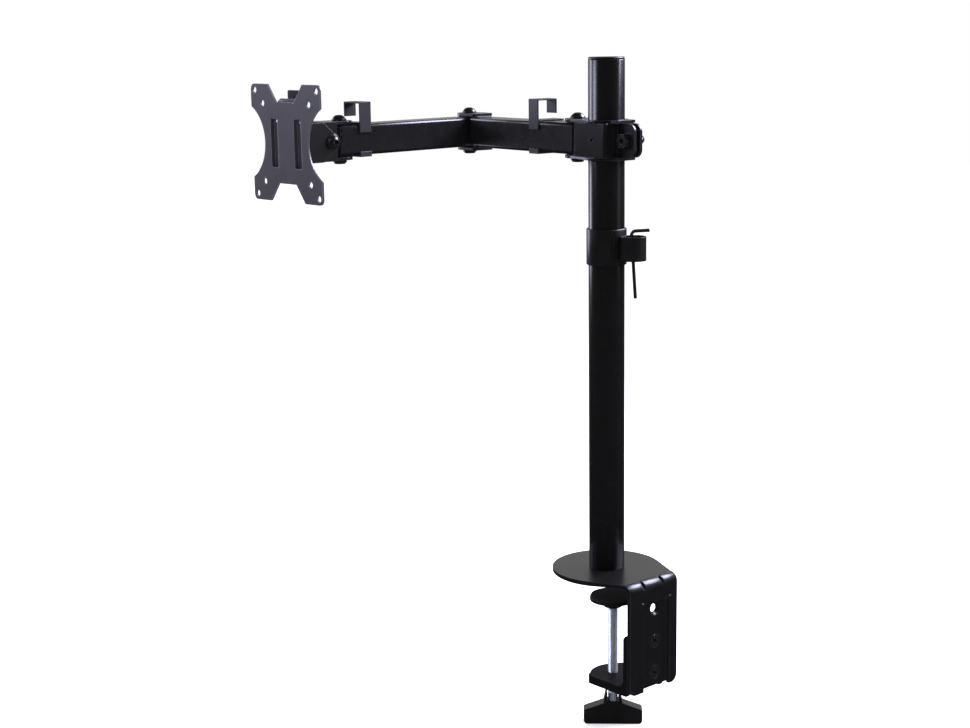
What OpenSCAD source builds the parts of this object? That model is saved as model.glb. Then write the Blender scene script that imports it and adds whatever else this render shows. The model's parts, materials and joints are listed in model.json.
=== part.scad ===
// Desk-clamp monitor arm on a round pole, millimetres, +Z up.
// Origin: pole axis at the desk surface, underside of the base pad.

/* [Pole] */
// Outside diameter of the pole tube
pole_d = 35; // [30:1:45]
// Wall thickness of the pole tube
pole_wall = 2; // [1.5:0.5:3]
// Height of the pole tube's open end above the desk
pole_top = 503; // [400:1:700]

/* [Base clamp] */
// Radius of the round base plate
disc_r = 54; // [45:1:65]
// Thickness of the bent base plate
base_t = 4; // [3:0.5:5]
// Thickness of the soft pad under the base plate
pad_t = 1; // [0.5:0.5:2]
// Distance from the pole axis to the outer face of the hanging flange
flange_x = 64; // [60:1:75]
// Width of the hanging flange
flange_w = 67; // [50:1:90]
// Depth of the hanging flange below the desk surface
flange_depth = 107; // [90:1:120]
// Sideways offset of the flange holes and channel
hole_y = 4.5; // [0:0.5:6]
// Distance from the pole axis to the clamp screw axis
screw_x = 8.5; // [0:0.5:20]
// Height of the lower jaw's top face
jaw_z = -104; // [-110:1:-90]
// Width of the lower jaw
jaw_w = 50; // [40:1:60]
// Clamped desk thickness in the stored position
desk_t = 23; // [14:1:85]
// Diameter of the clamp screw
screw_d = 10; // [8:1:12]
// Diameter of the pressure pad
pad_d = 46; // [35:1:55]

/* [Arms] */
// Height of the arm centre line above the desk
arm_z = 428; // [200:1:470]
// Side of the square arm tubes
tube = 30; // [25:1:40]
// Wall thickness of the arm tubes
tube_wall = 1.8; // [1.5:0.1:3]
// Pivot to pivot length of each arm
arm_len = 175; // [120:1:250]
// Distance from the pole axis to the shoulder pivot
shoulder = 38.5; // [36:0.5:45]
// Swing of the first arm in the stored position
yaw_1 = 4.5; // [-80:0.5:80]
// Swing of the second arm in the stored position
yaw_2 = 2; // [-5:0.5:80]
// Pivot bolt diameter
bolt_d = 8; // [6:1:10]

/* [Head] */
// Distance from the head pivot to the tilt axis
tilt_off = 22; // [22:0.5:26]
// Distance from the head pivot to the front of the mounting plate
plate_off = 63.5; // [60:0.5:75]
// Thickness of the mounting plate
plate_t = 2; // [2:0.5:3]
// Outer hole spacing of the mounting plate
vesa_out = 100; // [100]
// Inner hole spacing of the mounting plate
vesa_in = 75; // [75]
// Diameter of the mounting plate's screw holes
vesa_hole = 6.4; // [4.5:0.1:6.6]

/* [Cable parts] */
// Distance from the shoulder pivot to the first cable clip
clip_1_at = 48; // [34:1:130]
// Distance from the elbow pivot to the second cable clip
clip_2_at = 155; // [42:1:155]
// Length of each cable clip along the arm
clip_w = 14.2; // [12:0.2:16]
// Height of the pole collar's lower edge
collar_z = 308.5; // [50:0.5:360]
// Height of the pole collar
collar_h = 35; // [25:1:45]

/* [Hidden] */
$fn = 96;

pole_r = pole_d / 2;
bolt_r = bolt_d / 2;
hole_r = bolt_r + 0.05;
plate_z0 = pad_t;
plate_z1 = pad_t + base_t;
half = tube / 2;
gap = 1;
strap_t = 3;
top_z = arm_z + half + gap;
bot_z = arm_z - half - gap;
elbow_x = -shoulder - arm_len * cos(yaw_1);
elbow_y = arm_len * sin(yaw_1);
head_x = elbow_x + arm_len * sin(yaw_2);
head_y = elbow_y - arm_len * cos(yaw_2);
tilt_y = head_y - tilt_off;
front_y = head_y - plate_off;
pad_z = -desk_t;
screw_r = screw_d / 2;
jaw_t = 3;
jaw_skirt = 8.5;
nose_x = -12;
nose_in = 8;
nose_bow = 29;
nose_r = 5;
strap_in = 24;
cheek_y = 18.95;
tube_gap = 20.8;
leg_x = 46.4;
leg_h = 55;
chan_dep = 2.5;
key_af = 3;
key_x = 23.2;
key_y = 10.5;
hoop_x = 29.3;
hoop_y = 6.4;
hoop_r = 12.5;
chan_0 = hole_y - 17.5;
chan_1 = hole_y + 15;
hole_zs = [-25.5, -58.5, -91];

// Direction frames of the two arms: X runs along the arm from its first pivot
module on_arm_1() {
  translate([-shoulder, 0, arm_z]) rotate([0, 0, 180 - yaw_1]) children();
}
module on_arm_2() {
  translate([elbow_x, elbow_y, arm_z]) rotate([0, 0, yaw_2 - 90]) children();
}
module on_head() {
  translate([head_x, head_y, arm_z]) rotate([0, 0, -90]) children();
}

// Dome head screw along +Z, seat at z = 0, with a hexagon socket
module dome_screw(r, len, head_r, head_h, af) {
  difference() {
    union() {
      translate([0, 0, -len]) cylinder(r = r, h = len + 0.5);
      intersection() {
        translate([0, 0, head_h - (head_r * head_r + head_h * head_h) / (2 * head_h)])
          sphere(r = (head_r * head_r + head_h * head_h) / (2 * head_h));
        cylinder(r = head_r, h = head_h + 1);
      }
      cylinder(r = head_r, h = 1.4);
    }
    translate([0, 0, head_h * 0.45]) cylinder(r = af / sqrt(3), h = head_h, $fn = 6);
  }
}

// Lock nut, seat at z = 0 and growing along +Z
module lock_nut(af, h, bore_r) {
  difference() {
    union() {
      intersection() {
        cylinder(r = af / sqrt(3), h = h, $fn = 6);
        cylinder(r = af / sqrt(3) - 0.45, h = h);
      }
      cylinder(r = af / 2 - 0.8, h = h + 1.2);
    }
    translate([0, 0, -1]) cylinder(r = bore_r, h = h + 4);
  }
}

module ring(r0, r1, h) {
  difference() {
    cylinder(r = r1, h = h);
    translate([0, 0, -1]) cylinder(r = r0, h = h + 2);
  }
}

// Rounded rectangle, centred
module rrect(w, d, r) {
  square([w - 2 * r, d], center = true);
  square([w, d - 2 * r], center = true);
  for (a = [-1, 1], b = [-1, 1])
    translate([a * (w / 2 - r), b * (d / 2 - r)]) circle(r = r, $fn = 32);
}

// Outline of the base plate: disc with tangent sides running to the flange
module base_outline(x_end) {
  circle(r = disc_r);
  c = norm([x_end, flange_w / 2]);
  a = atan2(flange_w / 2, x_end) + acos((disc_r - 0.02) / c);
  p = [(disc_r - 0.02) * cos(a), (disc_r - 0.02) * sin(a)];
  polygon([[0, -disc_r * 0.7], [p[0], -p[1]], [x_end, -flange_w / 2],
           [x_end, flange_w / 2], [p[0], p[1]], [0, disc_r * 0.7]]);
}

// Self-adhesive pad under the base plate
module base_pad() {
  color("#232323") cylinder(r = disc_r - 1.5, h = pad_t);
}

// Flange outline with rounded lower corners, Y across and Z up
module flange_2d(z_top) {
  r = 8;
  translate([-flange_w / 2, -flange_depth + r]) square([flange_w, z_top + flange_depth - r]);
  translate([-flange_w / 2 + r, -flange_depth]) square([flange_w - 2 * r, r + 1]);
  for (s = [-1, 1]) translate([s * (flange_w / 2 - r), -flange_depth + r]) circle(r = r);
}

// Base plate bent down into the hanging flange with a pressed channel
module base_plate() {
  bend = 8;
  dep = chan_dep;
  cw = chan_1 - chan_0;
  color("#1b1b1d")
  difference() {
    union() {
      translate([0, 0, plate_z0]) linear_extrude(base_t) base_outline(flange_x - bend);
      // quarter bend
      translate([flange_x - bend, flange_w / 2, plate_z1 - bend]) rotate([90, 0, 0])
        linear_extrude(flange_w) intersection() {
          difference() {
            circle(r = bend);
            circle(r = bend - base_t);
          }
          square(bend);
        }
      // flange side strips
      translate([flange_x - base_t, 0, 0]) rotate([90, 0, 90]) linear_extrude(base_t)
        flange_2d(plate_z1 - bend);
      // recessed channel
      translate([flange_x - base_t - dep, chan_0 - 2, -flange_depth + 2])
        cube([base_t, cw + 8, flange_depth - 18]);
      // pressed corner ribs
      for (s = [-1, 1])
        translate([flange_x - bend + 0.9, s * 13, plate_z1 - bend + 0.9]) rotate([90, 45, 0])
          translate([0, 0, -2]) linear_extrude(4) square([6.4, 6.4], center = true);
    }
    // channel hollow on the outer face
    translate([0, 0, -flange_depth - 1]) linear_extrude(flange_depth - 16)
      polygon([[flange_x - dep, chan_0], [flange_x + 1, chan_0 - 1.4], [flange_x + 1, chan_1 + 5],
               [flange_x - dep, chan_1]]);
    // channel bottom edge
    translate([flange_x - 12, chan_0, -flange_depth - 1]) cube([20, cw + 3, 3.4]);
    // dimples over the channel's upper corners
    for (y = [chan_0 - 2, chan_1 + 4]) translate([flange_x + 1.6, y, -14]) sphere(r = 2.8, $fn = 48);
    // V grooves over the outer bend
    for (s = [-1, 1])
      translate([flange_x - bend, s * 13, plate_z1 - bend]) rotate([0, -45, 0])
        translate([0, 0, -8]) linear_extrude(16)
          polygon([[bend - 2.2, 0], [bend + 1, -3.6], [bend + 1, 3.6]]);
    // three countersunk holes
    for (z = hole_zs) translate([flange_x - dep, hole_y, z]) rotate([0, 90, 0]) {
      translate([0, 0, -10]) cylinder(r = 4.05, h = 20);
      translate([0, 0, -3]) cylinder(r1 = 4.05, r2 = 7.05, h = 3);
      cylinder(r = 7.05, h = 5);
    }
    // pole screw hole, countersunk from below
    translate([0, 0, -1]) cylinder(r = bolt_r + 0.3, h = 10);
    translate([0, 0, plate_z0 - 0.01]) cylinder(r1 = 8.3, r2 = bolt_r + 0.3, h = 3.6);
  }
}

module pole_tube() {
  color("#18181b")
  translate([0, 0, plate_z1]) ring(pole_r - pole_wall, pole_r, pole_top - plate_z1);
}

// Plastic cap with a skirt inside the tube
module pole_cap() {
  ri = pole_r - pole_wall;
  color("#1e1e20") {
    difference() {
      union() {
        translate([0, 0, pole_top]) cylinder(r = pole_r - 0.2, h = 1.6);
        translate([0, 0, pole_top + 1.6]) cylinder(r1 = pole_r - 0.2, r2 = pole_r - 1.1, h = 0.9);
        translate([0, 0, pole_top - 12]) cylinder(r = ri - 0.15, h = 12.5);
      }
      translate([0, 0, pole_top - 13]) cylinder(r = ri - 2, h = 13);
    }
  }
}

// Threaded plug welded in the foot of the pole
module pole_plug() {
  color("#6c6c70")
  translate([0, 0, plate_z1]) ring(bolt_r + 0.05, pole_r - pole_wall - 0.1, 14);
}

// Countersunk screw that holds the pole from below
module pole_screw() {
  color("#8f9196")
  difference() {
    union() {
      translate([0, 0, plate_z0 + 0.2]) cylinder(r1 = 8, r2 = bolt_r, h = 3.6);
      translate([0, 0, plate_z0 + 0.2]) cylinder(r = bolt_r, h = 18);
    }
    translate([0, 0, plate_z0]) cylinder(r = 5 / sqrt(3), h = 2.8, $fn = 6);
  }
}

// Outline of the jaw's tongue: a bowed nose between two tight corners
module jaw_outline(grow, x_end) {
  w = jaw_w / 2;
  x0 = nose_x + nose_in;
  translate([x0 + nose_r, -w + grow]) square([x_end - x0 - nose_r, jaw_w - 2 * grow]);
  translate([x0 + grow, -w + nose_r]) square([nose_r + 1, jaw_w - 2 * nose_r]);
  for (s = [-1, 1]) translate([x0 + nose_r, s * (w - nose_r)]) circle(r = nose_r - grow);
  intersection() {
    translate([nose_x + nose_bow, 0]) circle(r = nose_bow - grow);
    translate([nose_x, -w + nose_r]) square([nose_in + nose_r, jaw_w - 2 * nose_r]);
  }
}

// Side wall of the jaw, profile in the X Z plane; x_end is where it meets the flange
module jaw_wall_profile(x_end) {
  x0 = nose_x + nose_in + nose_r;
  x1 = leg_x + 7;
  difference() {
    union() {
      translate([x0, jaw_z - jaw_skirt]) square([x1 - x0 - 4, jaw_skirt]);
      translate([x1 - 4, jaw_z - jaw_skirt + 4]) circle(r = 4);
      translate([x1 - 6, jaw_z - jaw_skirt + 4]) square([6, 12]);
      translate([leg_x, jaw_z - 3]) square([x1 - leg_x, leg_h - 4]);
      translate([x1 - 1, jaw_z + 4]) square([x_end - x1 + 1, leg_h - 4]);
      translate([leg_x - 8, jaw_z - 1]) square([9, 9]);
      translate([leg_x + 7, jaw_z + leg_h - 7]) intersection() {
        circle(r = 7);
        translate([-7, 0]) square([7, 7]);
      }
      translate([leg_x + 6.9, jaw_z + leg_h - 8]) square([x_end - leg_x - 6.9, 8]);
    }
    translate([leg_x - 8, jaw_z + 8]) circle(r = 8);
  }
}

// Pressed lower jaw: web on the throat side, walls turned away from it
module jaw_bracket() {
  back = flange_x - base_t;
  color("#161618")
  difference() {
    union() {
      translate([0, 0, jaw_z - jaw_t]) linear_extrude(jaw_t) jaw_outline(0, leg_x + 2);
      // skirt round the nose
      translate([0, 0, jaw_z - jaw_skirt]) linear_extrude(jaw_skirt - 0.5) difference() {
        jaw_outline(0, screw_x + 0.5);
        jaw_outline(jaw_t, screw_x + 2);
      }
      // the wall beside the channel stops at its back
      for (s = [-1, 1])
        translate([0, s > 0 ? jaw_w / 2 : -jaw_w / 2 + jaw_t, 0]) rotate([90, 0, 0])
          linear_extrude(jaw_t) jaw_wall_profile(s > 0 ? back - chan_dep : back);
      // web of the leg
      translate([leg_x, -jaw_w / 2, jaw_z - 1]) cube([jaw_t, jaw_w, leg_h - 6]);
      // rounded inner corner
      translate([leg_x - 8, jaw_w / 2, jaw_z]) rotate([90, 0, 0]) linear_extrude(jaw_w)
        difference() {
          translate([-0.5, -1]) square([9, 9]);
          translate([0, 8]) circle(r = 8);
        }
    }
    translate([screw_x, 0, jaw_z - 20]) cylinder(r = screw_r + 0.5, h = 40);
    for (z = [hole_zs[1], hole_zs[2]])
      translate([leg_x - 5, hole_y, z]) rotate([0, 90, 0]) cylinder(r = 3.4, h = 20);
  }
}

// Weld nuts between the jaw's web and the channel back
module jaw_nuts() {
  color("#77797d")
  for (z = [hole_zs[1], hole_zs[2]])
    translate([leg_x + jaw_t, hole_y, z]) rotate([0, 90, 0]) difference() {
      cylinder(r = 13 / sqrt(3), h = flange_x - base_t - chan_dep - leg_x - jaw_t, $fn = 6);
      translate([0, 0, -1]) cylinder(r = 3.05, h = 20);
    }
}

module jaw_screws() {
  color("#1a1a1c")
  for (z = [hole_zs[1], hole_zs[2]])
    translate([flange_x - chan_dep, hole_y, z]) rotate([0, 90, 0]) difference() {
      union() {
        translate([0, 0, -3.2]) cylinder(r1 = 3, r2 = 6.6, h = 3.2);
        translate([0, 0, -14]) cylinder(r = 3, h = 13);
      }
      translate([0, 0, -2]) cylinder(r = 4 / sqrt(3), h = 4, $fn = 6);
    }
}

// Threaded nut under the jaw's tongue
module screw_nut() {
  color("#808287")
  translate([screw_x, 0, jaw_z - jaw_t - 8]) difference() {
    intersection() {
      cylinder(r = 17 / sqrt(3), h = 8, $fn = 6);
      cylinder(r = 9.4, h = 8);
    }
    translate([0, 0, -1]) cylinder(r = screw_r + 0.06, h = 10);
  }
}

// Dished pressure pad with a socket for the screw's end
module clamp_pad() {
  color("#1c1c1e")
  translate([screw_x, 0, pad_z]) difference() {
    union() {
      translate([0, 0, -5]) cylinder(r = pad_d / 2, h = 3);
      translate([0, 0, -6.5]) cylinder(r1 = 10, r2 = pad_d / 2, h = 1.6);
      translate([0, 0, -12]) cylinder(r = 9, h = 8);
    }
    translate([0, 0, -13]) cylinder(r = screw_r + 0.06, h = 8.1);
  }
}

module pad_facing() {
  color("#2a2a2c")
  translate([screw_x, 0, pad_z - 2]) cylinder(r = pad_d / 2 - 1, h = 2);
}

module clamp_screw() {
  color("#b9bcc2")
  translate([screw_x, 0, pad_z]) {
    translate([0, 0, -123]) cylinder(r = screw_r, h = 116.5);
    translate([0, 0, -6.5]) cylinder(r1 = screw_r, r2 = screw_r - 1, h = 1);
  }
}

// Wing knob with two cheeks beside the screw
module clamp_knob() {
  kz = pad_z - 134.6;
  color("#141416")
  translate([screw_x, 0, kz]) rotate([0, 0, 45.5]) difference() {
    union() {
      rotate([90, 0, 0]) translate([0, 0, -7]) linear_extrude(14) difference() {
        union() {
          polygon([[-29.5, 4], [-25.5, 0], [25.5, 0], [29.5, 4], [29.5, 14], [28.7, 15],
                   [9.5, 22], [7.2, 33.1], [-7.2, 33.1], [-9.5, 22], [-28.7, 15], [-29.5, 14]]);
          for (a = [-1, 1]) translate([a * 25.5, 4]) circle(r = 4, $fn = 48);
        }
        translate([-5.6, 23.5]) square([11.2, 12]);
      }
    }
    translate([0, 0, 11.1]) cylinder(r = screw_r + 0.02, h = 30);
  }
}

// Strap folded round the pole, closed by two ears
module band_2d() {
  ri = pole_r + 0.08;
  ro = ri + 3;
  difference() {
    union() {
      circle(r = ro);
      for (s = [-1, 1]) {
        translate([-23, s > 0 ? ri : -ro]) square([38, 3]);
        translate([14.5, s > 0 ? 5 : -ro + 2.5]) square([3, ro - 7.5]);
        translate([15, s * (ro - 2.5)]) circle(r = 2.5, $fn = 48);
      }
      translate([12, -5.5]) square([29.5, 11]);
    }
    circle(r = ri);
    translate([0, -2.5]) square([50, 5]);
  }
}

module clamp_band() {
  color("#151517")
  difference() {
    translate([0, 0, bot_z]) linear_extrude(top_z - bot_z) band_2d();
    // rounded ear corners
    for (s = [-1, 1]) translate([33.5, -10, arm_z + s * 8]) rotate([-90, 0, 0])
      linear_extrude(20) difference() {
        translate([0, s > 0 ? -9 : 0]) square([9, 9]);
        circle(r = 8);
      }
    translate([29.5, -10, arm_z]) rotate([-90, 0, 0]) cylinder(r = hole_r, h = 20);
    translate([0, -26, arm_z]) rotate([-90, 0, 0]) cylinder(r = 3.05, h = 12);
  }
}

module clamp_plate_2d() {
  difference() {
    union() {
      translate([-shoulder, 0]) circle(r = 12.5);
      circle(r = 21.5);
      translate([-shoulder, -12.5]) square([shoulder + 26, 25]);
      polygon([[-shoulder, -12.5], [-shoulder + 2, -12.5], [-6, -20.6], [0, -21.4],
               [0, 21.4], [-6, 20.6], [-shoulder + 2, 12.5]]);
    }
    circle(r = pole_r + 0.4);
    translate([-shoulder, 0]) circle(r = hole_r);
  }
}

// Two fork plates welded on top of and under the strap
module clamp_plates() {
  color("#19191b") {
    translate([0, 0, top_z]) linear_extrude(strap_t) clamp_plate_2d();
    translate([0, 0, bot_z - strap_t]) linear_extrude(strap_t) clamp_plate_2d();
  }
}

module pinch_bolt() {
  color("#111113")
  translate([29.5, -5.5, arm_z]) rotate([90, 0, 0]) difference() {
    union() {
      cylinder(r = 13 / sqrt(3), h = 5.3, $fn = 6);
      translate([0, 0, -22]) cylinder(r = bolt_r, h = 22.5);
    }
    translate([0, 0, 2.5]) cylinder(r = 5 / sqrt(3), h = 4, $fn = 6);
  }
}

module pinch_nut() {
  color("#111113")
  translate([29.5, 5.5, arm_z]) rotate([-90, 0, 0]) lock_nut(13, 6.5, hole_r);
}

module grub_screw() {
  color("#0e0e10")
  translate([0, -20.8, arm_z]) rotate([-90, 0, 0]) difference() {
    cylinder(r = 3, h = 3);
    translate([0, 0, -1]) cylinder(r = 3 / sqrt(3), h = 3, $fn = 6);
  }
}

module pivot_bolt() {
  translate([0, 0, half + gap + strap_t])
    dome_screw(bolt_r, 2 * (half + gap + strap_t) + 4.2, 7.4, 5.8, 5);
}

module pivot_nut() {
  translate([0, 0, -(half + gap + strap_t)]) rotate([180, 0, 0]) lock_nut(13, 2.6, hole_r);
}

module shoulder_bolt() { color("#0d0d0f") on_arm_1() pivot_bolt(); }
module shoulder_nut() { color("#0d0d0f") on_arm_1() pivot_nut(); }
module elbow_bolt() { color("#0d0d0f") on_arm_2() pivot_bolt(); }
module elbow_nut() { color("#0d0d0f") on_arm_2() pivot_nut(); }
module head_bolt() { color("#0d0d0f") on_head() pivot_bolt(); }
module head_nut() { color("#0d0d0f") on_head() pivot_nut(); }

// Square tube along X from x0 to x1, with round sleeve holes
module arm_tube(x0, x1, holes) {
  difference() {
    translate([x0, 0, 0]) rotate([90, 0, 90]) linear_extrude(x1 - x0) difference() {
      rrect(tube, tube, 3);
      rrect(tube - 2 * tube_wall, tube - 2 * tube_wall, 1.2);
    }
    for (h = holes) translate([h, 0, -half - 1]) cylinder(r = 6.6, h = tube + 2);
  }
}

module sleeve() {
  translate([0, 0, -half]) ring(hole_r, 6.5, tube);
}

// Pair of thin friction washers above and below the tube
module pivot_washers() {
  for (z = [half, -half - gap + 0.05]) translate([0, 0, z]) ring(hole_r + 0.3, 11, gap - 0.05);
}

module arm_1_tube() { color("#17171a") on_arm_1() arm_tube(-9, arm_len - tube_gap, [0]); }
module arm_2_tube() { color("#17171a") on_arm_2() arm_tube(-12, arm_len + 9, [0, arm_len]); }
module shoulder_sleeve() { color("#85878c") on_arm_1() sleeve(); }
module elbow_sleeve() { color("#85878c") on_arm_2() sleeve(); }
module head_sleeve() { color("#85878c") on_arm_2() translate([arm_len, 0, 0]) sleeve(); }
module shoulder_washers() { color("#202022") on_arm_1() pivot_washers(); }
module elbow_washers() { color("#202022") on_arm_2() pivot_washers(); }
module head_washers() { color("#202022") on_arm_2() translate([arm_len, 0, 0]) pivot_washers(); }

// Straps on the first arm that fork over the second arm's end
module elbow_straps() {
  color("#19191b")
  on_arm_1() for (z = [half, -half - gap - strap_t])
    translate([0, 0, z]) difference() {
      union() {
        translate([0, 0, z > 0 ? gap : 0]) linear_extrude(strap_t) union() {
          translate([arm_len, 0]) circle(r = 12.5);
          translate([arm_len - strap_in + 2, -12.5]) square([strap_in - 2, 25]);
          translate([arm_len - strap_in, -10.5]) square([3, 21]);
          for (s = [-1, 1]) translate([arm_len - strap_in + 2, s * 10.5]) circle(r = 2, $fn = 32);
        }
        translate([arm_len - strap_in, -10.5, 0]) cube([strap_in - tube_gap, 21, gap + strap_t]);
      }
      translate([arm_len, 0, -1]) cylinder(r = hole_r, h = 10);
    }
}

// Plastic plugs closing the tube ends
module tube_plug() {
  rotate([90, 0, 90]) difference() {
    linear_extrude(8) rrect(tube - 2 * tube_wall - 0.2, tube - 2 * tube_wall - 0.2, 1.2);
    translate([0, 0, 1.6]) linear_extrude(8) rrect(tube - 2 * tube_wall - 3.4,
      tube - 2 * tube_wall - 3.4, 0.8);
  }
}

module tube_caps_1() {
  color("#1f1f21") on_arm_1() {
    translate([arm_len - tube_gap - 0.1, 0, 0]) rotate([0, 0, 180]) tube_plug();
  }
}

module tube_caps_2() {
  color("#1f1f21") on_arm_2() for (s = [0, 1])
    translate([s > 0 ? arm_len + 8.9 : -11.9, 0, 0]) rotate([0, 0, 180 * s])
      rotate([90, 0, 90]) linear_extrude(1.6)
        rrect(tube - 2 * tube_wall - 0.2, tube - 2 * tube_wall - 0.2, 1.2);
}

// Swivel bracket: fork plates joined by two side walls that carry the tilt bolt
module head_bracket() {
  x1 = tilt_off + 8;
  color("#161618")
  on_head() difference() {
    union() {
      for (z = [half + gap, -half - gap - strap_t]) translate([0, 0, z])
        linear_extrude(strap_t) {
          circle(r = 12.5);
          translate([0, -12.5]) square([16, 25]);
          translate([14, -15]) square([x1 - 16, 30]);
          translate([14, -13]) square([x1 - 14, 26]);
          for (s = [-1, 1]) translate([x1 - 2, s * 13]) circle(r = 2, $fn = 32);
        }
      for (s = [-1, 1]) translate([0, s * 13.5, 0]) rotate([90, 0, 0])
        translate([0, 0, -1.5]) linear_extrude(3)
          translate([14, -half - gap - 0.5]) square([x1 - 16, tube + 2 * gap + 1]);
    }
    translate([0, 0, -30]) cylinder(r = hole_r, h = 60);
    translate([tilt_off, 30, 0]) rotate([90, 0, 0]) cylinder(r = hole_r, h = 60);
  }
}

// Tilt bracket: two cheeks, back plate and upright tongue
module tilt_bracket() {
  bx = plate_off - plate_t - 8.5 - gap;
  color("#151517")
  on_head() difference() {
    union() {
      for (s = [-1, 1]) translate([0, s * 17.4, 0]) rotate([90, 0, 0])
        translate([0, 0, -1.5]) linear_extrude(3) {
          translate([tilt_off, 0]) circle(r = 8.5);
          polygon([[tilt_off - 1.5, 8.36], [tilt_off - 1.5, -8.36], [tilt_off + 10, -18.6],
                   [tilt_off + 12, -19], [bx - 5, -19], [bx - 0.5, -15], [bx - 0.5, 15], [bx - 5, 19],
                   [tilt_off + 12, 19], [tilt_off + 10, 18.6]]);
        }
      translate([bx - 3, 0, 0]) rotate([90, 0, 90]) linear_extrude(3) {
        rrect(37.8, 38, 5);
        translate([0, 26.5]) rrect(22, 47, 2);
      }
    }
    translate([tilt_off, 30, 0]) rotate([90, 0, 0]) cylinder(r = hole_r, h = 60);
    translate([bx - 10, 0, 0]) rotate([0, 90, 0]) cylinder(r = hole_r, h = 20);
  }
}

module tilt_bolt() {
  color("#0d0d0f")
  on_head() translate([tilt_off, cheek_y, 0]) rotate([-90, 0, 0])
    dome_screw(bolt_r, 43.6, 7.4, 5.6, 5);
}

module tilt_nut() {
  color("#0d0d0f")
  on_head() translate([tilt_off, -cheek_y, 0]) rotate([90, 0, 0]) lock_nut(13, 4.6, hole_r);
}

module tilt_washers() {
  color("#202022")
  on_head() for (s = [-1, 1]) translate([tilt_off, s * 15.45, 0]) rotate([90, 0, 0])
    translate([0, 0, -0.43]) ring(hole_r + 0.3, 8, 0.86);
}

// Outline of the mounting plate, X across and Y up
module plate_2d() {
  difference() {
    rrect(112, 112, 5.5);
    for (s = [-1, 1]) {
      translate([s * 73, 0]) circle(r = 38, $fn = 128);
      polygon([[-14.5, s * 38.5], [14.5, s * 38.5], [29, s * 57], [-29, s * 57]]);
      translate([s * 19, 0]) rrect(11.4, 47, 1.5);
    }
    for (a = [-1, 1], b = [-1, 1]) {
      translate([a * vesa_out / 2, b * vesa_out / 2]) circle(r = vesa_hole / 2);
      translate([a * vesa_in / 2, b * vesa_in / 2]) circle(r = vesa_hole / 2);
    }
  }
}

// Pressed pocket behind the plate, with a relief hole in its upper corner
module plate_pocket(s) {
  difference() {
    translate([0, 0, -3.2]) linear_extrude(3.7) rrect(13.4, 49, 2.5);
    translate([0, 0, -2.2]) linear_extrude(5) rrect(11.4, 47, 1.5);
    translate([-1.6, 20.6, -6]) cylinder(r = 1.3, h = 8, $fn = 32);
  }
}

module mount_plate() {
  color("#1f1f24")
  translate([head_x, front_y, arm_z]) {
    translate([0, plate_t, 0]) rotate([90, 0, 0]) linear_extrude(plate_t) plate_2d();
    for (s = [-1, 1]) translate([s * 19, plate_t, 0]) rotate([90, 0, 0]) plate_pocket(s);
    // lip bent back at the top notch
    translate([-12, 0, 38]) rotate([90, 0, 90]) linear_extrude(24)
      polygon([[0, -0.5], [2.5, -0.5], [2.5, 0.6], [5.2, 2.4], [4.1, 4.4], [1.4, 2.9], [0, 1.2]]);
  }
}

// Stepped hub welded behind the plate, with its threaded stud
module plate_hub() {
  color("#17171a")
  translate([head_x, front_y + plate_t, arm_z]) rotate([-90, 0, 0]) {
    cylinder(r = 11.8, h = 6);
    translate([0, 0, 5]) cylinder(r1 = 11.8, r2 = 10.8, h = 3.5);
    cylinder(r = bolt_r, h = 19.5);
  }
}

module hub_washer() {
  color("#202022")
  translate([head_x, front_y + plate_t + 8.5, arm_z]) rotate([-90, 0, 0])
    ring(hole_r + 0.3, 10.5, gap - 0.05);
}

module hub_nut() {
  color("#0d0d0f")
  translate([head_x, front_y + plate_t + 8.5 + gap + 3.05, arm_z]) rotate([-90, 0, 0])
    lock_nut(13, 4.6, hole_r);
}

// Spring clip section: Y across the arm, Z up, far side at +Y
module clip_2d() {
  g = half + 0.12;
  t = 1.6;
  difference() {
    square([2 * (g + t), 2 * (g + t)], center = true);
    rrect(2 * g, 2 * g, 3.1);
    translate([-g - t - 1, -g + 3.5]) square([t + 5, 2 * g - 3.5 - 8]);
  }
  translate([-g - t, g - 1]) square([t, 22.6]);
  translate([-g - t, g + 20]) square([24.5, t]);
  translate([-g - t + 24.5 - t, g + 7.2]) square([t, 14.4]);
}

module cable_clip_1() {
  color("#121214")
  on_arm_1() translate([clip_1_at - clip_w / 2, 0, 0]) rotate([90, 0, 90])
    linear_extrude(clip_w) mirror([1, 0]) clip_2d();
}

module cable_clip_2() {
  color("#121214")
  on_arm_2() translate([clip_2_at - clip_w / 2, 0, 0]) rotate([90, 0, 90])
    linear_extrude(clip_w) mirror([1, 0]) clip_2d();
}

// Split collar on the pole
module pole_collar() {
  ri = pole_r + 0.08;
  color("#131315")
  difference() {
    union() {
      translate([0, 0, collar_z + 0.6]) cylinder(r = ri + 1.9, h = collar_h - 1.2);
      translate([0, 0, collar_z]) cylinder(r1 = ri + 1.3, r2 = ri + 1.9, h = 0.6);
      translate([0, 0, collar_z + collar_h - 0.6]) cylinder(r1 = ri + 1.9, r2 = ri + 1.3, h = 0.6);
    }
    translate([0, 0, collar_z - 1]) cylinder(r = ri, h = collar_h + 2);
    rotate([0, 0, 150]) translate([10, -1.5, collar_z - 1]) cube([20, 3, collar_h + 2]);
    for (a = [-31, -21]) rotate([0, 0, a]) translate([ri + 0.9, -0.7, collar_z + 5.5])
      cube([3, 1.4, 23]);
  }
}

// Leaning axis of the hanging key, from the top of its holder
module on_key() {
  translate([key_x, key_y, collar_z + 28.5]) rotate(3.5, [0.747, -0.664, 0]) children();
}

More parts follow.
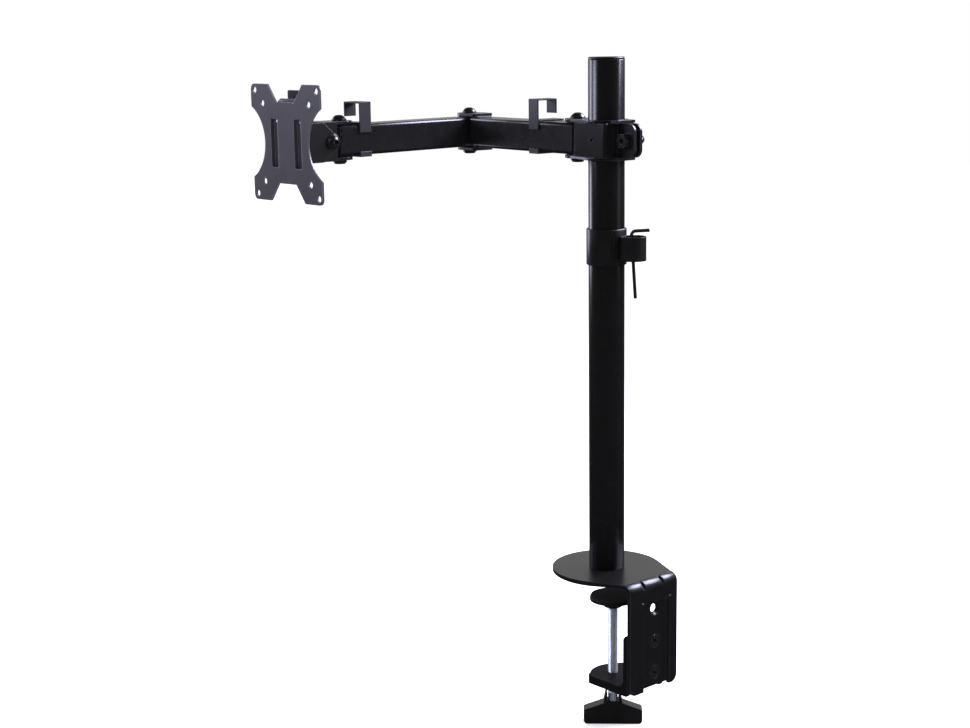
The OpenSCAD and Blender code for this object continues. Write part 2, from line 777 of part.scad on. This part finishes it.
// Open cable hoop carried by the collar, with the key holder inside
module cable_hoop() {
  z0 = collar_z + 5.5;
  h = 23;
  ang = atan2(hoop_y, hoop_x);
  hold_x = key_x + 0.47;
  hold_y = key_y + 0.52;
  color("#131315")
  difference() {
    union() {
      translate([hoop_x, hoop_y, z0]) cylinder(r = hoop_r, h = h);
      translate([hold_x, hold_y, z0]) cylinder(r = 4.2, h = h);
      rotate([0, 0, ang]) translate([15, -6, z0]) cube([6.5, 12, h]);
    }
    difference() {
      translate([hoop_x, hoop_y, z0 - 1]) cylinder(r = hoop_r - 2, h = h + 2);
      translate([hold_x, hold_y, z0 - 1]) cylinder(r = 4.2, h = h + 2);
      rotate([0, 0, ang]) translate([15, -6, z0 - 1]) cube([6.5, 12, h + 2]);
    }
    translate([0, 0, z0 - 1]) cylinder(r = pole_r + 0.08 + 1.95, h = h + 2);
    translate([hoop_x, hoop_y, z0 - 1]) rotate([0, 0, 253]) translate([8, -2.2, 0])
      cube([8, 4.4, h + 2]);
    translate([hold_x, hold_y, z0 - 1]) cylinder(r = 2.9, h = h + 2);
  }
}

// Hexagon key hanging in the holder
module hex_key() {
  r = key_af / sqrt(3);
  color("#6f7176")
  on_key() {
    rotate([0, 0, 40]) {
      translate([0, 0, -61]) cylinder(r = r, h = 61.2, $fn = 6);
      translate([4, 0, 0.2]) rotate([90, 0, 0]) rotate([0, 0, 90]) rotate_extrude(angle = 90)
        translate([4, 0]) circle(r = r, $fn = 6);
      translate([4, 0, 4.2]) rotate([0, 90, 0]) cylinder(r = r, h = 13.5, $fn = 6);
    }
  }
}

base_pad();
base_plate();
pole_tube();
pole_cap();
pole_plug();
pole_screw();
jaw_bracket();
jaw_nuts();
jaw_screws();
screw_nut();
clamp_pad();
pad_facing();
clamp_screw();
clamp_knob();
clamp_band();
clamp_plates();
pinch_bolt();
pinch_nut();
grub_screw();
shoulder_bolt();
shoulder_nut();
arm_1_tube();
elbow_straps();
shoulder_sleeve();
shoulder_washers();
elbow_bolt();
elbow_nut();
arm_2_tube();
elbow_sleeve();
head_sleeve();
elbow_washers();
head_washers();
tube_caps_1();
tube_caps_2();
head_bracket();
head_bolt();
head_nut();
tilt_bracket();
tilt_bolt();
tilt_nut();
tilt_washers();
mount_plate();
plate_hub();
hub_washer();
hub_nut();
cable_clip_1();
cable_clip_2();
pole_collar();
cable_hoop();
hex_key();
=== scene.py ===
"""Desk-clamp monitor arm: looks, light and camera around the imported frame."""
import json
import math
import bpy
import bmesh
from mathutils import Matrix, Vector


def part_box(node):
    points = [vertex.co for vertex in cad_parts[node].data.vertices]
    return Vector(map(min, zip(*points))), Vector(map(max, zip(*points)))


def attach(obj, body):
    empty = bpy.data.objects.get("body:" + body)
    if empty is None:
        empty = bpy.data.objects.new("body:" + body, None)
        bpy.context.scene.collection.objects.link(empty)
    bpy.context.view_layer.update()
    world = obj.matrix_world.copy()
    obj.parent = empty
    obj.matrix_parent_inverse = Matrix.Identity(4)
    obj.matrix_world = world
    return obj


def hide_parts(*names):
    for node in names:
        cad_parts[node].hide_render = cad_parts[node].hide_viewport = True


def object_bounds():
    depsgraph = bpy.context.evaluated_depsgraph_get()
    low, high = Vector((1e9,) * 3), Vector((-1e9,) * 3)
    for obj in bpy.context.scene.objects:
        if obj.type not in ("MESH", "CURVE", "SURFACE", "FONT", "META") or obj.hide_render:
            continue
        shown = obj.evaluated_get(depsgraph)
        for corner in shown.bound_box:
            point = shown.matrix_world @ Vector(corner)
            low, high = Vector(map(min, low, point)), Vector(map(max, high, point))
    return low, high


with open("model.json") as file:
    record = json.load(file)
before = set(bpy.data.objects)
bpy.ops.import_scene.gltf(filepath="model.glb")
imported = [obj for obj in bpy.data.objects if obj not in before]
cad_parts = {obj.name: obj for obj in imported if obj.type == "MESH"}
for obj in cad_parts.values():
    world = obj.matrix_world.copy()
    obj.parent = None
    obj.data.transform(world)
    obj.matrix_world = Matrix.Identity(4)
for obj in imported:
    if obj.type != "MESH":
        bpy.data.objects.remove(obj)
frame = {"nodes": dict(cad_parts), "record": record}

CAD_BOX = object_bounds()
NODES = frame["nodes"]
SLOT_OF = {s["node"]: s["material_slot"] for s in frame["record"]["subparts"]}


# ---------------------------------------------------------------- camera
CAMERA_AT = (1.1467, -1.1780, 0.5343)
CAMERA_LOOKS = (-0.7334, 0.6519, -0.1929)
CAMERA_ROLL_DEG = -0.84
CAMERA_LENS_MM = 63.57
CAMERA_SENSOR_MM = 36


def make_camera():
    forward = Vector(CAMERA_LOOKS).normalized()
    level_right = forward.cross(Vector((0, 0, 1))).normalized()
    level_up = level_right.cross(forward)
    roll = math.radians(CAMERA_ROLL_DEG)
    right = level_right * math.cos(roll) + level_up * math.sin(roll)
    up = level_up * math.cos(roll) - level_right * math.sin(roll)
    place = Matrix((right, up, -forward)).transposed().to_4x4()
    place.translation = Vector(CAMERA_AT)
    data = bpy.data.cameras.new("camera")
    data.sensor_fit = "HORIZONTAL"
    data.sensor_width = CAMERA_SENSOR_MM
    data.lens = CAMERA_LENS_MM
    data.clip_start = 0.05
    data.clip_end = 60
    cam = bpy.data.objects.new("camera", data)
    bpy.context.scene.collection.objects.link(cam)
    cam.matrix_world = place
    bpy.context.scene.camera = cam


# ---------------------------------------------------------------- materials
EDGE_FLAT = 0.995
EDGE_SHARP = 0.90
BEVEL_SAMPLES = 6
INPUT_NAMES = {
    "color": "Base Color", "rough": "Roughness", "metal": "Metallic", "normal": "Normal",
    "coat": "Coat Weight", "coat_rough": "Coat Roughness", "spec": "Specular IOR Level",
}


def shade(colour, factor):
    return tuple(c * factor for c in colour)


class Nodes:
    """Small helper around one material's node tree."""

    def __init__(self, name):
        self.mat = bpy.data.materials.new(name)
        self.mat.use_nodes = True
        self.tree = self.mat.node_tree
        self.shader = self.tree.nodes["Principled BSDF"]
        self.coord = self.tree.nodes.new("ShaderNodeTexCoord").outputs["Object"]

    def new(self, kind, links=(), **settings):
        node = self.tree.nodes.new(kind)
        for key, value in settings.items():
            setattr(node, key, value)
        for socket, source in dict(links).items():
            if hasattr(source, "is_output"):
                self.tree.links.new(source, node.inputs[socket])
            else:
                node.inputs[socket].default_value = source
        return node

    def noise(self, scale, detail, rough, vector=None):
        links = {"Vector": vector or self.coord, "Scale": scale, "Detail": detail, "Roughness": rough}
        return self.new("ShaderNodeTexNoise", links).outputs["Fac"]

    def ramp(self, fac, stops):
        node = self.new("ShaderNodeValToRGB", {"Fac": fac})
        elements = node.color_ramp.elements
        while len(elements) < len(stops):
            elements.new(0.5)
        for element, (position, colour) in zip(elements, stops):
            element.position = position
            element.color = (*colour, 1)
        return node.outputs["Color"]

    def span(self, value, from_min, from_max, to_min, to_max):
        links = {"Value": value, "From Min": from_min, "From Max": from_max,
                 "To Min": to_min, "To Max": to_max}
        return self.new("ShaderNodeMapRange", links).outputs["Result"]

    def add(self, a, b):
        return self.new("ShaderNodeMath", {0: a, 1: b}, operation="ADD").outputs[0]

    def mix(self, fac, a, b):
        node = self.new("ShaderNodeMix", data_type="RGBA")
        for key, value in (("Factor_Float", fac), ("A_Color", a), ("B_Color", b)):
            socket = next(s for s in node.inputs if s.identifier == key)
            if hasattr(value, "is_output"):
                self.tree.links.new(value, socket)
            else:
                socket.default_value = (*value, 1)
        return next(s for s in node.outputs if s.identifier == "Result_Color")

    def bump(self, height, strength, distance, normal=None):
        links = {"Height": height, "Strength": strength, "Distance": distance}
        if normal is not None:
            links["Normal"] = normal
        return self.new("ShaderNodeBump", links).outputs["Normal"]

    def set(self, **inputs):
        for key, value in inputs.items():
            socket = self.shader.inputs[INPUT_NAMES[key]]
            if hasattr(value, "is_output"):
                self.tree.links.new(value, socket)
            else:
                socket.default_value = (*value, 1) if key == "color" else value


def edge_mask(n, radius, sharp=EDGE_SHARP, flat=EDGE_FLAT):
    """1 along the edges, from the bevelled normal against the face's own; and that bevelled normal."""
    bevel = n.new("ShaderNodeBevel", {"Radius": radius}, samples=BEVEL_SAMPLES)
    geo = n.new("ShaderNodeNewGeometry")
    dot = n.new("ShaderNodeVectorMath", {0: bevel.outputs["Normal"], 1: geo.outputs["Normal"]},
                operation="DOT_PRODUCT")
    return n.span(dot.outputs["Value"], flat, sharp, 0.0, 1.0), bevel.outputs["Normal"]


def powder_coat(name, base, edge_wear_and_highlight_col, rough, grain=1.0, edge=0.0006, spec=0.5):
    """Satin powder coat: fine orange peel, faint speckle, and edges lightened partly as polished wear,
    partly as a painted highlight.
    """
    n = Nodes(name)
    fine = n.noise(2600, 3, 0.6)
    broad = n.noise(60, 2, 0.5)
    peel = n.noise(700, 1.5, 0.5)
    worn_and_lit_edges, rounded = edge_mask(n, edge)
    speckle = n.ramp(fine, [(0.30, shade(base, 0.72)), (0.55, base), (0.80, shade(base, 1.32))])
    # The edges take the lighter edge colour: partly rubbed wear, partly a painted highlight along them.
    colour = n.mix(worn_and_lit_edges, speckle, edge_wear_and_highlight_col)
    patches = n.span(broad, 0.25, 0.75, rough - 0.015, rough + 0.02)
    roughness = n.add(patches, n.span(fine, 0.3, 0.7, -0.02, 0.03))
    normal = n.bump(peel, 0.05 * grain, 0.00018, rounded)
    normal = n.bump(fine, 0.08 * grain, 0.00005, normal)
    n.set(color=colour, rough=roughness, normal=normal, spec=spec)
    return n.mat


def plastic(name, base, rough, grain=1.0, edge=0.0005):
    """Moulded black plastic with a fine spark-eroded texture."""
    n = Nodes(name)
    fine = n.noise(3200, 2, 0.5)
    broad = n.noise(90, 2, 0.5)
    worn_and_lit_edges, rounded = edge_mask(n, edge)
    clouds = n.ramp(broad, [(0.3, shade(base, 0.85)), (0.7, shade(base, 1.15))])
    # Edges painted 2.2 times lighter: partly rubbed wear, partly a painted highlight.
    colour = n.mix(worn_and_lit_edges, clouds, shade(base, 2.2))
    roughness = n.span(broad, 0.3, 0.7, rough - 0.04, rough + 0.05)
    normal = n.bump(fine, 0.12 * grain, 0.00005, rounded)
    n.set(color=colour, rough=roughness, normal=normal, spec=0.45)
    return n.mat


def rubber(name, base):
    """Matt rubber or foam facing."""
    n = Nodes(name)
    fine = n.noise(1500, 4, 0.65)
    colour = n.ramp(fine, [(0.3, shade(base, 0.7)), (0.75, shade(base, 1.4))])
    normal = n.bump(fine, 0.5, 0.0002)
    n.set(color=colour, rough=n.span(fine, 0.3, 0.7, 0.78, 0.95), normal=normal, spec=0.3)
    return n.mat


def bright_metal(name, base, rough, stretch=(1, 1, 1), metal=1.0):
    """Plated or bare steel with drawn scratches along one direction."""
    n = Nodes(name)
    mapping = n.new("ShaderNodeMapping", {"Vector": n.coord, "Scale": stretch})
    streak = n.noise(1800, 3, 0.6, mapping.outputs["Vector"])
    cloud = n.noise(140, 3, 0.6)
    worn_and_lit_edges, rounded = edge_mask(n, 0.0003)
    colour = n.mix(n.span(cloud, 0.35, 0.7, 0.0, 0.7), base, shade(base, 0.62))
    # Edges painted a quarter lighter: partly rubbed wear, partly a painted highlight.
    colour = n.mix(worn_and_lit_edges, colour, tuple(min(1, c) for c in shade(base, 1.25)))
    scratches = n.span(streak, 0.3, 0.7, -0.06, 0.08)
    roughness = n.add(scratches, n.span(cloud, 0.3, 0.7, rough - 0.03, rough + 0.06))
    normal = n.bump(streak, 0.10, 0.00004, rounded)
    n.set(color=colour, rough=roughness, metal=metal, normal=normal)
    return n.mat


def black_oxide(name, base, rough):
    """Oiled black steel of the screws and nuts."""
    n = Nodes(name)
    cloud = n.noise(420, 3, 0.6)
    fine = n.noise(4200, 2, 0.5)
    worn_and_lit_edges, rounded = edge_mask(n, 0.0005, 0.88, 0.99)
    colour = n.mix(n.span(cloud, 0.35, 0.7, 0.0, 1.0), base, shade(base, 1.7))
    # Edges painted 4.5 times lighter: partly oxide rubbed through, partly a painted highlight.
    colour = n.mix(worn_and_lit_edges, colour, shade(base, 4.5))
    roughness = n.span(cloud, 0.3, 0.7, rough - 0.05, rough + 0.08)
    normal = n.bump(fine, 0.10, 0.00004, rounded)
    n.set(color=colour, rough=roughness, metal=0.0, normal=normal, spec=0.5, coat=0.15, coat_rough=0.18)
    return n.mat


# In each powder coat the second colour is its edge colour, partly rubbed wear and partly a painted
# highlight.
MATS = {
    "black_coat": powder_coat("black_coat", (0.0042, 0.0042, 0.0048), (0.040, 0.040, 0.052), 0.30),
    "pole_coat": powder_coat("pole_coat", (0.0040, 0.0040, 0.0044), (0.016, 0.016, 0.019), 0.24,
                             grain=0.45),
    "tube_coat": powder_coat("tube_coat", (0.0040, 0.0041, 0.0048), (0.024, 0.025, 0.034), 0.27,
                             grain=0.6, edge=0.0008),
    "plate_coat": powder_coat("plate_coat", (0.0335, 0.0315, 0.0415), (0.185, 0.178, 0.230), 0.33,
                              grain=0.8, spec=0.95),
    "black_plastic": plastic("black_plastic", (0.0046, 0.0046, 0.0050), 0.34),
    "rubber": rubber("rubber", (0.010, 0.010, 0.010)),
    "nylon": plastic("nylon", (0.020, 0.020, 0.022), 0.32, grain=0.4, edge=0.0002),
    "black_steel": black_oxide("black_steel", (0.0045, 0.0045, 0.0050), 0.24),
    "bright_steel": bright_metal("bright_steel", (0.74, 0.79, 0.88), 0.18, (1, 1, 6), metal=0.72),
    "pad_steel": powder_coat("pad_steel", (0.0046, 0.0046, 0.0050), (0.020, 0.020, 0.024), 0.36,
                             spec=0.35),
    "zinc_steel": bright_metal("zinc_steel", (0.52, 0.53, 0.56), 0.30),
    "key_steel": bright_metal("key_steel", (0.34, 0.345, 0.365), 0.28, (6, 6, 1)),
}
# Cable clips: a lighter, rougher copy of the black coat. The raised base and edge colours are painted
# light, standing in for the reflection clip 1 catches.
CLIP_LIT_COAT = powder_coat("clip_lit_coat", (0.0110, 0.0106, 0.0140), (0.060, 0.058, 0.078), 0.42, spec=0.6)
JAW_COAT = powder_coat("jaw_coat", (0.0040, 0.0040, 0.0048), (0.018, 0.018, 0.024), 0.48, spec=0.06)
OWN_COAT = {"jaw_bracket": JAW_COAT, "cable_clip_1": CLIP_LIT_COAT, "cable_clip_2": CLIP_LIT_COAT}


# ---------------------------------------------------------------- CAD nodes
WELD_DIST = 0.00001
BEVEL_ANGLE_DEG = 40
BEVEL_SEGMENTS = 2
SHEET_EDGE = 0.00035
SOFT_EDGE = {
    "clamp_knob": 0.0016, "jaw_bracket": 0.0009, "clamp_band": 0.0006, "mount_plate": 0.00045,
    "pole_cap": 0.0004, "pole_collar": 0.0004, "hex_key": 0.00025,
    "pinch_bolt": 0.0004, "grub_screw": 0.0002,
}
UNROUNDED = (
    "tilt_bracket", "cable_hoop", "pole_plug", "pole_screw", "pad_facing", "base_pad",
    "shoulder_sleeve", "elbow_sleeve", "head_sleeve",
)


def dress_cad():
    """Each CAD node gets its own or its slot's finish and, unless listed above, rounded edges."""
    for name, o in NODES.items():
        o.data.materials.clear()
        o.data.materials.append(OWN_COAT.get(name) or MATS[SLOT_OF[name]])
        if name in UNROUNDED:
            continue
        weld = o.modifiers.new("weld", "WELD")
        weld.merge_threshold = WELD_DIST
        bevel = o.modifiers.new("rounded", "BEVEL")
        bevel.width = SOFT_EDGE.get(name, SHEET_EDGE)
        bevel.segments = BEVEL_SEGMENTS
        bevel.limit_method = "ANGLE"
        bevel.angle_limit = math.radians(BEVEL_ANGLE_DEG)
        bevel.harden_normals = True
        bevel.use_clamp_overlap = True


# ---------------------------------------------------------------- pieces of their own
MERGE_DIST = 0.000002
TINY_EDGE = 0.000001


def middle(box):
    return (box[0] + box[1]) / 2


def on_circle(radius, k, count):
    angle = 2 * math.pi * k / count
    return radius * math.cos(angle), radius * math.sin(angle)


def smooth_object(bm, name):
    """Turns bm into a smooth-shaded object in the scene."""
    mesh = bpy.data.meshes.new(name)
    bm.to_mesh(mesh)
    bm.free()
    for p in mesh.polygons:
        p.use_smooth = True
    o = bpy.data.objects.new(name, mesh)
    bpy.context.scene.collection.objects.link(o)
    return o


def piece(bm, name, slot, body, stands_for=None):
    bmesh.ops.remove_doubles(bm, verts=bm.verts, dist=MERGE_DIST)
    bmesh.ops.dissolve_degenerate(bm, edges=bm.edges, dist=TINY_EDGE)
    bmesh.ops.recalc_face_normals(bm, faces=bm.faces)
    o = smooth_object(bm, name)
    o.data.materials.append(MATS[slot])
    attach(o, body)
    if stands_for:
        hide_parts(stands_for)


THREAD_DEPTH = 0.61  # of one pitch
ROOT_FROM, CREST_FROM, CREST_TO = 0.22, 0.56, 0.68  # of one pitch


def thread(bm, place, z0, z1, crest, pitch, sides):
    """Threaded rod along the local Z of place, still open at both ends: each ring climbs one pitch."""
    root = crest - THREAD_DEPTH * pitch
    steps = ((0.0, root), (ROOT_FROM, root), (CREST_FROM, crest), (CREST_TO, crest))
    rings = []
    for turn in range(-1, int((z1 - z0) / pitch) + 2):
        for part, radius in steps:
            row = []
            for k in range(sides):
                x, y = on_circle(radius, k, sides)
                z = z0 + (turn + part + k / sides) * pitch
                row.append(bm.verts.new(place @ Vector((x, y, min(max(z, z0), z1)))))
            rings.append(row)
    turn_rings = len(steps)
    last = sides - 1
    for i in range(len(rings) - 1):
        for k in range(last):
            bm.faces.new((rings[i][k], rings[i][k + 1], rings[i + 1][k + 1], rings[i + 1][k]))
        if i + turn_rings + 1 < len(rings):
            bm.faces.new((rings[i][last], rings[i + turn_rings][0],
                          rings[i + turn_rings + 1][0], rings[i + 1][last]))


def cap_ends(bm, place, z0, z1):
    """Clears what the end planes flattened and closes both ends with one face each."""
    bmesh.ops.remove_doubles(bm, verts=bm.verts, dist=MERGE_DIST)
    back = place.inverted()
    for z in (z0, z1):
        flat = [f for f in bm.faces
                if all(abs((back @ v.co).z - z) < TINY_EDGE for v in f.verts)]
        bmesh.ops.delete(bm, geom=flat, context="FACES")
    loose = [v for v in bm.verts if not v.link_faces]
    bmesh.ops.delete(bm, geom=loose, context="VERTS")
    rim = [e for e in bm.edges if len(e.link_faces) == 1]
    bmesh.ops.holes_fill(bm, edges=rim, sides=0)


def threaded_rod(place, z0, z1, crest, pitch, sides):
    bm = bmesh.new()
    thread(bm, place, z0, z1, crest, pitch, sides)
    cap_ends(bm, place, z0, z1)
    return bm


SPINDLE_PITCH = 0.0015
SPINDLE_SHORT = 0.001  # the thread stops this far under the top of its CAD node


def clamp_thread():
    lo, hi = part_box("clamp_screw")
    place = Matrix.Translation(((lo.x + hi.x) / 2, (lo.y + hi.y) / 2, 0))
    crest = (hi.x - lo.x) / 2
    bm = threaded_rod(place, lo.z, hi.z - SPINDLE_SHORT, crest, SPINDLE_PITCH, 32)
    piece(bm, "clamp_thread", "bright_steel", "spindle", "clamp_screw")


BOLT_CREST = 0.00415
BOLT_PITCH = 0.00125
TAIL_IN_NUT = 0.0005
TAIL_PAST_BOLT = 0.0003


def bolt_tails():
    """The threaded ends that stand out of the pinch nut and the hub's nut."""
    for name, body, bolt, nut in (("pinch_tail", "pole_clamp", "pinch_bolt", "pinch_nut"),
                                  ("hub_tail", "plate", "plate_hub", "hub_nut")):
        nut_lo, nut_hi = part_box(nut)
        cx, cz = (nut_lo.x + nut_hi.x) / 2, (nut_lo.z + nut_hi.z) / 2
        place = Matrix.Translation((cx, 0, cz)) @ Matrix.Rotation(math.radians(-90), 4, "X")
        tail_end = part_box(bolt)[1].y + TAIL_PAST_BOLT
        bm = threaded_rod(place, nut_hi.y - TAIL_IN_NUT, tail_end, BOLT_CREST, BOLT_PITCH, 28)
        piece(bm, name, "black_steel", body)


SWEEP_REF = (0.31, 0.17, 0.93)  # any direction that no bead runs along
BEAD_SIDES = 10
BEAD_THIN = 0.80


def sweep(bm, points, radius, closed):
    """Lumpy weld bead along a path: a tube that swells once per puddle and tapers at open ends."""
    rings = []
    count = len(points)
    for i, p in enumerate(points):
        ahead = points[(i + 1) % count] if closed or i + 1 < count else p
        behind = points[i - 1] if closed or i > 0 else p
        along = (ahead - behind).normalized()
        side = along.cross(Vector(SWEEP_REF)).normalized()
        up = side.cross(along)
        taper = 1.0 if closed else min(1.0, 0.25 + 0.25 * min(i, count - 1 - i))
        swell = BEAD_THIN + 0.20 * abs(math.sin(i * math.pi / 4))
        r = radius * taper * swell
        ring = []
        for k in range(BEAD_SIDES):
            t = 2 * math.pi * k / BEAD_SIDES
            ring.append(bm.verts.new(p + (side * math.cos(t) + up * math.sin(t)) * r))
        rings.append(ring)
    for i in range(count if closed else count - 1):
        join(bm, rings[i], rings[(i + 1) % count])
    if not closed:
        bm.faces.new(rings[0])
        bm.faces.new(rings[-1])


def join(bm, a, b):
    """One band of quads between two rings of the same count."""
    for k in range(len(a)):
        j = (k + 1) % len(a)
        bm.faces.new((a[k], a[j], b[j], b[k]))


def line(a, b, step=0.0006):
    n = max(2, int((b - a).length / step))
    return [a.lerp(b, i / n) for i in range(n + 1)]


HUB_REACH = 0.0085  # from the plate's back to the hub's washer
HUB_BEAD, HUB_BEAD_UP, HUB_BEAD_POINTS = 0.0013, 0.0004, 96


def hub_weld():
    """The hub to the back of the mounting plate."""
    lo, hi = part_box("plate_hub")
    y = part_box("hub_washer")[0].y - HUB_REACH + HUB_BEAD_UP
    cx, cz = (lo.x + hi.x) / 2, (lo.z + hi.z) / 2
    radius = (hi.x - lo.x) / 2
    ring = []
    for i in range(HUB_BEAD_POINTS):
        x, z = on_circle(radius, i, HUB_BEAD_POINTS)
        ring.append(Vector((cx + x, y, cz + z)))
    bm = bmesh.new()
    sweep(bm, ring, HUB_BEAD, True)
    piece(bm, "hub_weld", "plate_coat", "plate")


STRAP_REACH = 0.0241  # from the elbow's axis to the straps' end on the first tube
STRAP_BEAD, STRAP_BEAD_HALF, STRAP_BEAD_UP = 0.0012, 0.0100, 0.0002


def strap_weld():
    """The elbow straps to the first tube, across its top and its bottom."""
    shoulder = middle(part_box("shoulder_bolt"))
    elbow = middle(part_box("elbow_bolt"))
    shoulder.z = elbow.z = 0
    along = (elbow - shoulder).normalized()
    across = Vector((-along.y, along.x, 0))
    tube_lo, tube_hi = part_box("arm_1_tube")
    foot = elbow - along * STRAP_REACH
    bm = bmesh.new()
    for z in (tube_hi.z + STRAP_BEAD_UP, tube_lo.z - STRAP_BEAD_UP):
        mid = foot + Vector((0, 0, z))
        sweep(bm, line(mid - across * STRAP_BEAD_HALF, mid + across * STRAP_BEAD_HALF), STRAP_BEAD, False)
    piece(bm, "strap_weld", "black_coat", "arm_1")


BAND_BEAD, BAND_BEAD_IN = 0.0008, 0.0001
BAND_BEAD_X = (-0.010, 0.007)


def band_weld():
    """The fork plates to the strap round the pole, along both sides, above and below."""
    lo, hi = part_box("clamp_band")
    bm = bmesh.new()
    for z in (hi.z - BAND_BEAD_IN, lo.z + BAND_BEAD_IN):
        for y in (lo.y + BAND_BEAD_IN, hi.y - BAND_BEAD_IN):
            start, end = (Vector((x, y, z)) for x in BAND_BEAD_X)
            sweep(bm, line(start, end), BAND_BEAD, False)
    piece(bm, "band_weld", "black_coat", "pole_clamp")


LATHE_SIDES = 36


def lathe(bm, place, profile):
    """A closed profile of (radius, height) turned round the local Z of place."""
    rings = []
    for radius, z in profile:
        ring = []
        for k in range(LATHE_SIDES):
            x, y = on_circle(radius, k, LATHE_SIDES)
            ring.append(bm.verts.new(place @ Vector((x, y, z))))
        rings.append(ring)
    for i, ring in enumerate(rings):
        join(bm, ring, rings[(i + 1) % len(rings)])


INSERT_PROFILE = (
    (0.00416, -0.0010), (0.0052, -0.0010), (0.0052, 0.0001),
    (0.0050, 0.00028), (0.0045, 0.0003), (0.00416, 0.0001),
)
LOCK_NUTS = (
    ("shoulder_nut", "pole_clamp", "z", -1), ("elbow_nut", "arm_1", "z", -1), ("head_nut", "head", "z", -1),
    ("tilt_nut", "head", "x", -1), ("pinch_nut", "pole_clamp", "y", 1), ("hub_nut", "plate", "y", 1),
)


def nylon_rings():
    """The locking insert that shows in the end of each lock nut."""
    for nut, body, axis, sign in LOCK_NUTS:
        lo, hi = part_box(nut)
        i = "xyz".index(axis)
        face = middle((lo, hi))
        face[i] = hi[i] if sign > 0 else lo[i]
        normal = Vector((0, 0, 0))
        normal[i] = sign
        place = Matrix.Translation(face) @ normal.to_track_quat("Z", "Y").to_matrix().to_4x4()
        bm = bmesh.new()
        lathe(bm, place, INSERT_PROFILE)
        piece(bm, nut.replace("_nut", "_insert"), "nylon", body)


def make_details():
    clamp_thread()
    bolt_tails()
    hub_weld()
    strap_weld()
    band_weld()
    nylon_rings()


# ---------------------------------------------------------------- stage and light
FLOOR_RINGS = ((1.6, 0.0), (2.6, 0.0), (3.4, 0.05), (4.0, 0.25))  # radius and height, sweeping up far out
FLOOR_SIDES = 64
FLOOR_GLOW = 0.32


def make_stage():
    """A pale floor at the object's lowest point at rest. The knob goes under it when the pad is low."""
    lo, hi = CAD_BOX
    cx, cy = (lo.x + hi.x) / 2, (lo.y + hi.y) / 2
    bm = bmesh.new()
    hub = bm.verts.new((cx, cy, lo.z))
    inner = None
    for radius, height in FLOOR_RINGS:
        outer = []
        for i in range(FLOOR_SIDES):
            x, y = on_circle(radius, i, FLOOR_SIDES)
            outer.append(bm.verts.new((cx + x, cy + y, lo.z + height)))
        for i in range(FLOOR_SIDES):
            j = (i + 1) % FLOOR_SIDES
            if inner:
                bm.faces.new((inner[i], outer[i], outer[j], inner[j]))
            else:
                bm.faces.new((hub, outer[i], outer[j]))
        inner = outer
    o = smooth_object(bm, "floor")
    n = Nodes("floor")
    pale = n.ramp(n.noise(3, 3, 0.5), [(0.3, (0.86, 0.86, 0.87)), (0.7, (0.90, 0.90, 0.90))])
    n.set(color=pale, rough=0.85, spec=0.2)
    n.shader.inputs["Emission Color"].default_value = (1, 1, 1, 1)
    n.shader.inputs["Emission Strength"].default_value = FLOOR_GLOW
    o.data.materials.append(n.mat)
    o.visible_glossy = False


BACKDROP_TOWARDS = (-0.70, 0.66, 0.27)
ROOM_DARK = (0.55, (0.012, 0.012, 0.013, 1))
ROOM_MID = (0.78, (0.10, 0.10, 0.10, 1))
ROOM_PALE = (0.97, (0.62, 0.62, 0.60, 1))


def make_world():
    """White studio; what shines in the object is a dimmer room with a pale backdrop behind it."""
    world = bpy.data.worlds.new("studio")
    bpy.context.scene.world = world
    world.use_nodes = True
    nodes, links = world.node_tree.nodes, world.node_tree.links
    for old in list(nodes):
        nodes.remove(old)
    out = nodes.new("ShaderNodeOutputWorld")
    pick = nodes.new("ShaderNodeMixShader")
    path = nodes.new("ShaderNodeLightPath")
    white = nodes.new("ShaderNodeBackground")
    white.inputs["Color"].default_value = (1, 1, 1, 1)
    white.inputs["Strength"].default_value = 1.0
    room = nodes.new("ShaderNodeBackground")
    coord = nodes.new("ShaderNodeTexCoord")
    dot = nodes.new("ShaderNodeVectorMath")
    dot.operation = "DOT_PRODUCT"
    dot.inputs[1].default_value = Vector(BACKDROP_TOWARDS).normalized()
    ramp = nodes.new("ShaderNodeValToRGB")
    stops = ramp.color_ramp.elements
    stops[0].position, stops[0].color = ROOM_DARK
    stops[1].position, stops[1].color = ROOM_PALE
    stops.new(ROOM_MID[0]).color = ROOM_MID[1]
    links.new(coord.outputs["Generated"], dot.inputs[0])
    links.new(dot.outputs["Value"], ramp.inputs["Fac"])
    links.new(ramp.outputs["Color"], room.inputs["Color"])
    links.new(path.outputs["Is Glossy Ray"], pick.inputs[0])
    links.new(white.outputs[0], pick.inputs[1])
    links.new(room.outputs[0], pick.inputs[2])
    links.new(pick.outputs[0], out.inputs[0])


def area(name, at, target, width, height, power, colour):
    data = bpy.data.lights.new(name, "AREA")
    data.shape = "RECTANGLE"
    data.size = width
    data.size_y = height
    data.energy = power
    data.color = colour
    o = bpy.data.objects.new(name, data)
    bpy.context.scene.collection.objects.link(o)
    o.location = at
    o.rotation_euler = (Vector(target) - Vector(at)).to_track_quat("-Z", "Y").to_euler()


COOL = (0.76, 0.77, 1.0)
NEUTRAL = (1, 1, 1)


def make_lights():
    make_world()
    bpy.context.scene.view_settings.view_transform = "Standard"
    area("box_back", (0.42, 1.10, 1.25), (0.05, 0, 0.05), 1.10, 0.75, 70, COOL)
    area("box_left", (-1.20, -0.20, 0.52), (0, 0, 0.38), 0.45, 0.75, 6, COOL)
    area("box_front", (-1.20, -1.20, 0.86), (-0.2, -0.22, 0.45), 0.55, 0.40, 8, COOL)
    area("fill_right", (1.1, 0.75, 0.55), (0, 0, 0.35), 0.6, 0.7, 0.5, NEUTRAL)


def main():
    make_camera()
    dress_cad()
    make_details()
    make_stage()
    make_lights()


main()
bpy.context.view_layer.update()
